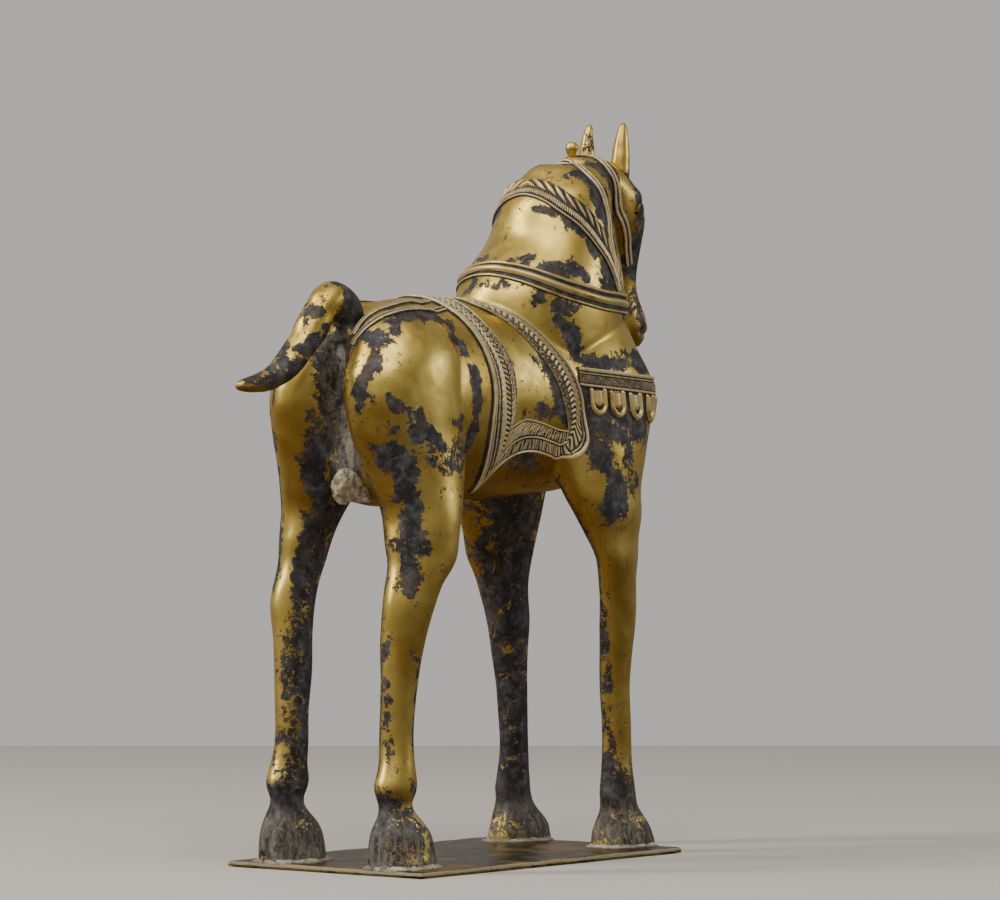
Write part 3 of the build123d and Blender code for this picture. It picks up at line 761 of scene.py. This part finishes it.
def stroke(phase, share=0.5):
    """1 on the bars of a repeating phase, 0 between, with soft flanks."""
    s = 0.5 + 0.5 * np.cos(2 * np.pi * phase)
    return np.clip((s - (0.5 - share / 2)) / 0.5, 0, 1) ** 0.8


def chevrons(u, w, at, half, pitch, high, slope=0.9):
    d = np.abs(w - at)
    body = stroke((u + slope * d) / pitch, 0.6) * np.clip((half - d) / 0.4, 0, 1)
    return high * body * np.clip(d / 0.3, 0.35, 1)


def bars_and_rings(u, w, low, top, high, pitch=6.4):
    t = np.mod(u, pitch)
    mid, reach = (low + top) / 2, (top - low) / 2
    inside = np.clip((reach - np.abs(w - mid)) / 0.3, 0, 1)
    bars = stroke(t / 1.25, 0.4) * (t < 3.3) * inside
    radius = np.hypot(t - 4.8, (w - mid) * 1.3 / np.maximum(reach, 0.1))
    ring = np.clip(1 - ((radius - 1.0) / 0.38) ** 2, 0, 1) * (t > 3.3)
    return high * np.maximum(bars, ring)


def beads(u, w, at, radius, pitch, high):
    t = np.mod(u, pitch) - pitch / 2
    return high * np.sqrt(np.clip(1 - (t * t + (w - at) ** 2) / radius ** 2, 0, 1))


def hatch(u, w, low, top, pitch, slant, high):
    mid, reach = (low + top) / 2, (top - low) / 2
    inside = np.clip((reach - np.abs(w - mid)) / 0.35, 0, 1)
    wander = 0.35 * np.sin(u * 0.9) + 0.25 * np.sin(u * 2.3 + w)
    return high * stroke((u + slant * w + wander) / pitch, 0.5) * inside


BASE = 0.55      # how far the flat ground of the cloth stands off the skin


def raised(*layers):
    """The highest of the layers, on the cloth's flat ground."""
    return BASE + np.maximum.reduce(layers)


def rear_pattern(u, w, width):
    return raised(ridge(w, 0.08 * width, 1.15, 1.2), ridge(w, 0.17 * width, 0.75, 0.95),
                  beads(u, w, 0.29 * width, 0.85, 1.5, 0.8), ridge(w, 0.375 * width, 0.35, 0.45),
                  chevrons(u, w, 0.545 * width, 0.155 * width, 3.0, 0.95, 1.1),
                  ridge(w, 0.725 * width, 0.4, 0.5), bars_and_rings(u, w, 0.76 * width, 0.94 * width, 0.7),
                  ridge(w, 0.975 * width, 0.5, 0.8))


def front_pattern(u, w, width):
    return raised(ridge(w, 0.05 * width, 0.85, 1.15), ridge(w, 0.15 * width, 0.4, 0.6),
                  chevrons(u, w, 0.43 * width, 0.23 * width, 3.3, 1.0, 1.0),
                  ridge(w, 0.70 * width, 0.4, 0.55), bars_and_rings(u, w, 0.74 * width, 0.94 * width, 0.7),
                  ridge(w, 0.975 * width, 0.5, 0.8))


def hem_pattern(u, w, width):
    return raised(ridge(w, 0.04 * width, 0.75, 1.1), hatch(u, w, 0.10 * width, 0.44 * width, 1.9, 0.35, 0.7),
                  ridge(w, 0.50 * width, 0.6, 0.95), hatch(u, w, 0.56 * width, 0.92 * width, 2.2, -0.15, 0.7),
                  ridge(w, 0.965 * width, 0.55, 0.9))


# The cloth's outlines in side view, (x, z), from the hem up to the spine.
CLOTH_REAR_OUTER = [(-14, 183.5), (-19, 194), (-22.5, 205), (-24, 217), (-23, 230), (-23.5, 243), (-26, 256),
                    (-30.5, 267), (-37, 276), (-41, 292)]
CLOTH_REAR_INNER = [(-5, 216.5), (-3, 222.5), (-1.5, 231), (-1.3, 240), (-2.5, 248.5), (-6.5, 257),
                    (-11.5, 264.5), (-15, 272), (-16, 277.5), (-16, 292)]
CLOTH_FRONT_OUTER = [(45.5, 199.9), (49.5, 203), (52, 208), (52.5, 214), (52, 224), (49, 235), (43, 246),
                     (35.5, 255.5), (28, 265), (19, 273), (10, 278), (2, 292)]
CLOTH_FRONT_INNER = [(41.5, 214.5), (40, 219.5), (37, 226), (32.5, 236), (27, 245.5), (20, 254.5),
                     (12.5, 263.5), (5, 270.5), (-4, 276), (-8, 292)]
HEM_OUTER = [(-14, 183.5), (-8.5, 194), (-1, 200), (8, 203), (20, 203.5), (33, 201.5), (40, 200), (45.5, 199.9)]
HEM_INNER = [(-5, 216.5), (1, 219), (8, 220.3), (20.5, 218.5), (33, 215.5), (41.5, 214.5)]


BACK_Z = 274            # above this the skin is too level to look for a height on it
SETTLING_ROUNDS = 6


def barrel_line(points):
    """Side-view points onto the skin; below the back each is settled on the height it was given."""
    line = []
    for x, z in points:
        x, s = round_barrel(x, z)
        for _ in range(SETTLING_ROUNDS if z < BACK_Z else 0):
            s = ARC * math.atan2(z - BARREL_AXIS_Z, abs(barrel_point(x, s)[1]))
        line.append((x, s))
    return line


for side, outer, inner, pattern in (("rear", CLOTH_REAR_OUTER, CLOTH_REAR_INNER, rear_pattern),
                                    ("front", CLOTH_FRONT_OUTER, CLOTH_FRONT_INNER, front_pattern)):
    band = cloth_band(over_spine(barrel_line(outer)), over_spine(barrel_line(inner)), pattern)
    relief_piece(f"saddle_{side}_border", [band], "ornament", RELIEF, f"cloth_{side}_border")


def mirrored(points):
    return [(x, ARC * math.pi - s) for x, s in points]


PANEL_POINTS = 8        # how many points of the borders' inner lines the panel's edges take


def panel_pattern(u, w, width):
    return BASE + 0.12 * np.sin(w / width * np.pi)


for hand, turn in (("right", list), ("left", mirrored)):
    hem = cloth_band(turn(barrel_line(HEM_OUTER)), turn(barrel_line(HEM_INNER)), hem_pattern)
    relief_piece(f"saddle_hem_{hand}", [hem], "ornament", RELIEF, f"cloth_hem_{hand}")
    edges = [turn(barrel_line(line[:PANEL_POINTS])) for line in (CLOTH_REAR_INNER, CLOTH_FRONT_INNER)]
    panel = cloth_band(*edges, panel_pattern, step=0.8)
    relief_piece(f"saddle_panel_{hand}", [panel], "cast_skin", SKIN, f"cloth_panel_{hand}")


def path(points):
    """A right-hand line over the middle and down the left."""
    return points + [(x, -y, z) for x, y, z in points[::-1] if abs(y) > 0.5]


COLLAR = [(24, 0, 296), (26, -12.3, 294.3), (30.5, -21.6, 291.7), (37.7, -28.7, 288.3), (47.8, -33.6, 284.9),
          (60.9, -36.2, 282.1), (73.5, -36.1, 280.2), (88, -33.5, 279.5), (102, -27, 279), (112, -17, 279),
          (118, 0, 279)]


def collar_pattern(u, v):
    h = np.full(u.shape, 0.3)
    h = np.maximum(h, ridge(v, 0, 1.9, 2.3))
    h = np.maximum(h, ridge(v, 4.4, 0.9, 1.4))
    return np.maximum(h, ridge(v, -4.6, 0.8, 1.2))


ring = COLLAR + [(x, -y, z) for x, y, z in COLLAR[-2:0:-1]] + [COLLAR[0]]
relief_piece("collar", [strip(ring, 11, collar_pattern, (70, 0, 284), closed=True, high=1.6)],
             "ornament", RELIEF_BRIGHT, "neck_collar")

ROPE = [(88.5, -33.2, 286), (84.7, -33.3, 293.4), (79.9, -33, 300.9), (74.3, -32.3, 307.4),
        (68.7, -30.2, 314.4), (64.2, -27.3, 319.9), (60.2, -24, 323.9), (57.1, -20, 327.4), (55.2, -15, 331),
        (54, -8, 334), (53.5, 0, 335.8)]


def rope_pattern(u, v):
    ribs = 0.72 + 0.28 * np.cos(2 * np.pi * (u + 0.5 * v) / 1.25)
    return np.maximum(np.maximum(0.35, ridge(v, 2.1, 0.75, 1.3)), ridge(v, -0.8, 1.9, 1.75) * ribs)


def leaf_pattern(u, v):
    h = np.full(u.shape, 0.3)
    total = u.max()
    crown = 1 + 0.9 * np.exp(-((u - total / 2) / 17) ** 2)
    toward = np.where(u < total / 2, u, total - u)
    for shift in (0, 1):
        t = np.mod(toward, 6.6) + shift * 6.6
        rise = (t - 6.6) / 6.6
        spine = 3.4 + rise * 3.0
        half = 1.3 * np.clip(1 - np.abs(rise) ** 1.5, 0, 1)
        body = np.sqrt(np.clip(1 - ((v + spine - 3.2) / np.maximum(half, 0.05)) ** 2, 0, 1)) * (half > 0.06)
        h = np.maximum(h, 1.75 * body * (0.75 + 0.25 * rise))
    return h * crown


NECK_MIDDLE = (80, 0, 312)
tufts = [(x + 4.6, y, z + 3.2) for x, y, z in ROPE]
cord = strip(path(ROPE), 6, rope_pattern, NECK_MIDDLE)
relief_piece("mane_cord", [cord], "ornament", RELIEF, "mane_rope")
crown = strip(path(tufts), 8, leaf_pattern, NECK_MIDDLE)
relief_piece("mane_tufts", [crown], "ornament", RELIEF_BRIGHT, "mane_leaves")

HEADSTALL = [(89, -32.5, 290), (86.5, -32, 301), (84.3, -30.4, 313.8), (85.7, -28.7, 321.6), (84.8, -27.5, 329),
             (83.2, -25.5, 337), (81, -20.7, 343.6), (80.5, -14.3, 348), (85, -6, 351.5), (87, 0, 352)]
CHEEK = [(127, -12, 300), (123, -13.5, 308), (119.6, -14.6, 315.4), (114.3, -16, 323), (110.3, -16.5, 328),
         (107.6, -17.8, 335.5), (105.7, -18, 341.6), (102.5, -14, 350), (100, -6, 355), (99, 0, 356)]


def strap_pattern(_, v):
    h = np.maximum(0.45, ridge(v, 1.25, 1.0, 1.5))
    return np.maximum(h, ridge(v, -1.25, 1.0, 1.35))


strap = strip(path(HEADSTALL), 5, strap_pattern, (95, 0, 325))
relief_piece("headstall_strap", [strap], "ornament", RELIEF, "headstall")
strap = strip(path(CHEEK), 4.6, strap_pattern, (118, 0, 330))
relief_piece("cheek_straps", [strap], "ornament", RELIEF, "cheek_strap")

STRAP_Z = 238.5
PENDANT_Z = 227
CHEST_X = 60            # the strap and its drops are laid out round this point, seen from above
STRAP_START_X = 47.0    # the cloth hides the strap behind this
PENDANTS = 13


def strap_fall(a):
    """The strap hangs a little lower in front than at the shoulders."""
    return 2.0 - 4.0 * math.cos(a)


def chest(a, z):
    """The point of the chest at a height and a turn from straight ahead, and the way out from it."""
    out = np.array([math.cos(a), math.sin(a), 0])
    return hit(np.array([CHEST_X, 0, z + strap_fall(a)]) + out * RAY_START, -out), out


def strap_line():
    """A line round the chest from the right shoulder to the left."""
    line = []
    for turn in np.linspace(-106, 106, 37):
        found, _ = chest(math.radians(turn), STRAP_Z)
        if found is not None and found[0] > STRAP_START_X:
            line.append(tuple(found))
    return line


def breast_pattern(u, v):
    h = np.full(u.shape, 0.5)
    h = np.maximum(h, ridge(v, 3.9, 1.15, 1.7))
    h = np.maximum(h, ridge(v, 1.9, 0.55, 1.2))
    lean = np.where(u < u.max() / 2, 0.9, -0.9)
    slanted = stroke((u + lean * v) / 1.7, 0.5) * (v < 1.2) * (v > -3.2)
    h = np.maximum(h, 0.5 + 0.65 * slanted)
    return np.maximum(h, ridge(v, -4.1, 0.8, 1.4))


strap = strip(strap_line(), 10, breast_pattern, (70, 0, STRAP_Z))
relief_piece("breast_band", [strap], "ornament", RELIEF, "breast_strap")


def pendant_height(a, b):
    """a across, b up from the drop's middle: a thick crescent rim, open at the top, with a low dome in it."""
    radius = np.hypot(a, np.minimum(b, 0) * 0.72)
    rim = ridge(radius, 3.7, 1.1, 2.0) * np.clip((8.0 - b) / 1.5, 0, 1)
    dome = 1.2 * np.sqrt(np.clip(1 - (a * a + np.minimum(b - 0.8, 0) ** 2) / 7.2, 0, 1)) * (b < 6.5)
    height = np.maximum(rim, dome)
    return height - 0.4 * (height <= 0)


parts = []
across, updown = np.linspace(-4.9, 4.9, 28), np.linspace(-8.0, 7.6, 40)
for turn in np.linspace(-90, 90, PENDANTS):
    found, out = chest(math.radians(turn), PENDANT_Z)
    side = np.array([-out[1], out[0], 0])
    grid = np.empty((len(updown), len(across), 3))
    for j, b in enumerate(updown):
        for k, w in enumerate(across):
            spot = hit(found + out * 12 + side * w + np.array([0, 0, b]), -out)
            grid[j, k] = found + side * w + np.array([0, 0, b]) if spot is None else spot
    nn = grid_normals(grid, np.array([CHEST_X, 0, PENDANT_Z]))
    w2, b2 = np.meshgrid(across, updown)
    parts.append(part_of(soften(grid, 2), nn, pendant_height(w2, b2 + 0.9), low=-0.2, high=1.3))
relief_piece("breast_drops", parts, "ornament", RELIEF_BRIGHT, "breast_pendants")

CRUPPER = [(-40, -14, 281), (-49, -15.5, 280), (-58, -16.5, 278), (-68, -16, 275.5), (-78, -14.5, 271),
           (-86, -12.5, 266), (-92, -11, 259)]
CRUPPER_LOW = [(-36, -21, 276), (-46, -22.5, 273.5), (-56, -23, 271.5), (-66, -22.5, 269.5), (-76, -20.5, 266),
               (-85, -17.5, 261), (-93, -14.5, 253)]


def crupper_pattern(_, v):
    h = np.maximum(0.3, ridge(v, 1.0, 0.9, 1.4))
    return np.maximum(h, ridge(v, -1.0, 0.75, 1.2))


for hand, sign in (("right", 1), ("left", -1)):
    lines = [[(x, sign * y, z) for x, y, z in line] for line in (CRUPPER, CRUPPER_LOW)]
    strands = [strip(line, 4.2, crupper_pattern, (-70, 0, 245)) for line in lines]
    relief_piece(f"crupper_{hand}_strands", strands, "ornament", RELIEF, f"crupper_{hand}")

# ---------------------------------------------------------------- tail, ears, eyes, knob, lump
for name, node, voxel, slot, material in (("cast_tail", "tail", 0.7, "cast_skin", SKIN_TAIL),
                                          ("cast_ear_left", "ear_left", 0.5, "cast_skin", SKIN),
                                          ("cast_ear_right", "ear_right", 0.5, "cast_skin", SKIN),
                                          ("cast_crest_knob", "crest_knob", 0.35, "cast_skin", SKIN),
                                          ("cast_eye_left", "eye_left", 0.35, "ornament", SKIN),
                                          ("cast_eye_right", "eye_right", 0.35, "ornament", SKIN),
                                          ("cast_groin_lump", "groin_boss", 0.5, "braze", LUMP)):
    obj = remeshed(name, [node], voxel)
    co = relax(positions(obj.data), edge_pairs(obj.data), 6, back=-0.53)
    place(obj.data, co)
    normal = vertex_normals(obj.data)
    shape = 0.12 * value_noise(co, 4, 9)
    if "ear" in node:
        side = 1 if "left" in node else -1
        shape += -2.4 * np.exp(-(along(co, [(123.5, side * 9.5, 346), (124.5, side * 9.8, 366)]) / 2.6) ** 2)
    if node == "groin_boss":
        shape += 1.7 * value_noise(co, 5.5, 11) + 0.8 * value_noise(co, 2.2, 12) - 0.2
    if "eye" in node:
        shape -= 1.5
    if "knob" in node:
        shape += 0.9 * np.exp(-((co[:, 2] - 359.5) / 2.2) ** 2)
        shape -= 0.35 * np.exp(-((co[:, 2] - 355.5) / 1.5) ** 2)
        shape += 0.8 * np.exp(-(np.linalg.norm(co - (94.5, -1.6, 360), axis=1) / 1.5) ** 2)
    if node == "tail":
        shape += 0.3 * value_noise(co, 9, 13)
    place(obj.data, co + normal * shape[:, None])
    finish_piece(weathered(obj), slot, material, node)

# ---------------------------------------------------------------- plate and braze
lo, hi = (np.array(corner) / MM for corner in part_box("base_plate"))
cols, rows = 211, 125
px, py = np.meshgrid(np.linspace(lo[0], hi[0], cols), np.linspace(lo[1], hi[1], rows))
inset = np.minimum(np.minimum(px - lo[0], hi[0] - px), np.minimum(py - lo[1], hi[1] - py))
flat = np.stack([px, py, px * 0], -1)
dish = 0.22 * value_noise(flat, 16, 21) + 0.10 * value_noise(flat, 5, 22)
top = hi[2] - 0.35 + dish - 0.6 * np.exp(-inset / 0.5)
wobble = 0.5 * value_noise(flat, 22, 23)
for axis, centre in ((0, 0.5 * (lo[0] + hi[0])), (1, 0.5 * (lo[1] + hi[1]))):
    edge = np.exp(-inset / 3.0)
    flat[..., axis] -= np.sign(flat[..., axis] - centre) * edge * (0.55 + wobble)
plate_up = np.zeros((rows, cols, 3))
plate_up[..., 2] = 1
grid = flat.copy()
grid[..., 2] = lo[2]
points, faces = slab(grid, plate_up, top - lo[2], depth=0.0)
plate = mesh_piece("sheet_plate", points, faces.tolist())
face_outward(plate.data)
rim = np.clip(1 - inset / 1.6, 0, 1).ravel()
set_values(plate.data, "rim", np.concatenate([rim, rim * 0.2]))


def plate_metal():
    n = Nodes("plate_metal")
    edge = n.attribute("rim")
    patches = n.noise(45, 8, 0.68, 0.7)
    shine = n.span(n.math("MULTIPLY_ADD", edge, 0.22, patches), 0.47, 0.60)
    color = n.mix(shine, (0.035, 0.028, 0.016), (0.34, 0.22, 0.06))
    worn = n.span(n.math("MULTIPLY_ADD", n.noise(180, 6, 0.7), 0.6, edge), 0.78, 0.95)
    color = n.mix(worn, color, (0.52, 0.46, 0.30))
    color = n.mix(n.span(n.noise(420, 6, 0.72), 0.58, 0.68), color, (0.16, 0.15, 0.12))
    height = n.math("ADD", n.noise(120, 6, 0.6), n.math("MULTIPLY", n.noise(26, 2), 1.6))
    metal, rough = n.span(worn, 0, 1, 0.92, 0.4), n.span(patches, 0.3, 0.7, 0.24, 0.46)
    return n.surface(color, metal, rough, n.bump(height, 0.5, 0.6))


finish_piece(plate, "plate", plate_metal(), "base_plate")

parts = []
for x, y in ((-86.5, 35), (-86.5, -35), (91, 33.5), (91, -33.5)):
    count = 200
    rings = []
    for angle in np.linspace(0, 2 * np.pi, count, endpoint=False):
        out = np.array([math.cos(angle), math.sin(angle), 0])
        found = hit(np.array([x, y, PLATE_TOP + 2.2]) + out * 40, -out)
        reach = 20.0 if found is None else np.linalg.norm(found - (x, y, PLATE_TOP + 2.2))
        spot = np.array([[x + out[0] * 20, y + out[1] * 20, 5.0]])
        ragged = 1 + 0.28 * float(value_noise(spot, 4.5, 31)[0]) + 0.12 * float(value_noise(spot, 1.8, 32)[0])
        profile = [(-0.8, 1.7 * ragged), (0.2, 1.3 * ragged), (0.8, 0.75 * ragged), (1.7 * ragged, 0.4),
                   (2.7 * ragged, 0.1), (2.7 * ragged, -0.8), (-0.8, -0.8)]
        rings.append([np.array([x, y, PLATE_TOP + up]) + out * (reach + side) for side, up in profile])
    rings = np.array(rings)
    rings[..., :2] = np.clip(rings[..., :2], lo[:2] + 0.6, hi[:2] - 0.6)
    index = np.arange(count * 7).reshape(count, 7)
    nxt = np.roll(index, -1, 0)
    faces = np.stack([index, np.roll(index, -1, 1), np.roll(nxt, -1, 1), nxt], -1).reshape(-1, 4)
    parts.append((rings.reshape(-1, 3), faces, np.ones(count * 7)))
relief_piece("hoof_braze_beads", parts, "braze", BRAZE, "hoof_braze")

# ---------------------------------------------------------------- floor, light and camera
bpy.ops.mesh.primitive_plane_add(size=1)
floor = bpy.context.object
floor.name = "floor"
floor.scale = (5, 2, 1)
floor.rotation_euler = (0, 0, math.radians(CAMERA_AZIMUTH))
floor.location = (0, 0, -0.0004)
floor_nodes = Nodes("pale_floor")
floor.data.materials.append(floor_nodes.surface(
    floor_nodes.mix(floor_nodes.noise(6, 3), (0.62, 0.60, 0.57), (0.68, 0.66, 0.63)), 0.0, 0.65,
    floor_nodes.bump(floor_nodes.noise(200, 3), 0.1, 0.3)))
floor.visible_glossy = False

world = bpy.data.worlds.new("studio")
SCENE.world = world
world.use_nodes = True
tree = world.node_tree
tree.nodes.clear()


def world_node(kind, **values):
    """A world node with the given inputs: a value, or an output to link."""
    node = tree.nodes.new("ShaderNode" + kind)
    for key, value in values.items():
        socket = node.inputs[int(key[1:])]
        if isinstance(value, bpy.types.NodeSocket):
            tree.links.new(value, socket)
        else:
            socket.default_value = value
    return node


# Reflections see brown below and grey above, darker on the side the camera has on its right.
around = tree.nodes.new("ShaderNodeTexCoord").outputs["Generated"]
up = world_node("SeparateXYZ", i0=around).outputs["Z"]
height = world_node("MapRange", i0=up, i1=-1.0, i2=1.0).outputs[0]
ramp = world_node("ValToRGB", i0=height)
ends = ramp.color_ramp.elements
ends[0].position, ends[0].color = 0.30, (0.13, 0.085, 0.045, 1)
ends[1].position, ends[1].color = 0.56, (0.34, 0.33, 0.31, 1)
facing = world_node("VectorMath", i0=around, i1=(0.62, -0.78, 0))
facing.operation = "DOT_PRODUCT"
shade = world_node("MapRange", i0=facing.outputs["Value"], i1=-0.5, i2=0.9, i3=1.15, i4=0.55)
reflected = world_node("Background", i0=ramp.outputs[0], i1=shade.outputs[0])
backdrop = world_node("Background", i0=(0.52, 0.50, 0.48, 1))
rays = tree.nodes.new("ShaderNodeLightPath").outputs["Is Camera Ray"]
choose = world_node("MixShader", i0=rays, i1=reflected.outputs[0], i2=backdrop.outputs[0])
world_node("OutputWorld", i0=choose.outputs[0])

TARGET = Vector((0, 0, 0.2))


def soft_light(name, azimuth, elevation, distance, size, power, color):
    data = bpy.data.lights.new(name, "AREA")
    data.shape = "RECTANGLE"
    data.size, data.size_y = size
    data.energy = power
    data.color = color
    lamp = bpy.data.objects.new(name, data)
    a, e = math.radians(azimuth), math.radians(elevation)
    toward = Vector((math.sin(a) * math.cos(e), -math.cos(a) * math.cos(e), math.sin(e)))
    lamp.location = TARGET + toward * distance
    lamp.rotation_euler = (-toward).to_track_quat("-Z", "Y").to_euler()
    SCENE.collection.objects.link(lamp)
    return lamp


soft_light("key_left", -128, 38, 1.5, (0.26, 1.2), 14, (1.0, 0.96, 0.88))
soft_light("top_front", -40, 58, 1.5, (1.5, 1.1), 14, (1.0, 0.95, 0.86))
soft_light("window_right", 50, 17, 2.0, (0.26, 0.34), 4, (0.94, 0.97, 1.0))

distance, focal_px = 2.6, 5200.0
a = math.radians(CAMERA_AZIMUTH)
right, back = Vector((math.cos(a), math.sin(a), 0)), Vector((math.sin(a), -math.cos(a), 0))
camera = bpy.data.objects.new("camera", bpy.data.cameras.new("camera"))
camera.data.sensor_width = 36.0
camera.data.lens = 36.0 * focal_px / 1000.0
camera.data.clip_start = 0.05
camera.location = right * 0.0208 + Vector((0, 0, 0.2044)) + back * distance
camera.rotation_euler = (-back).to_track_quat("-Z", "Y").to_euler()
SCENE.collection.objects.link(camera)
SCENE.camera = camera
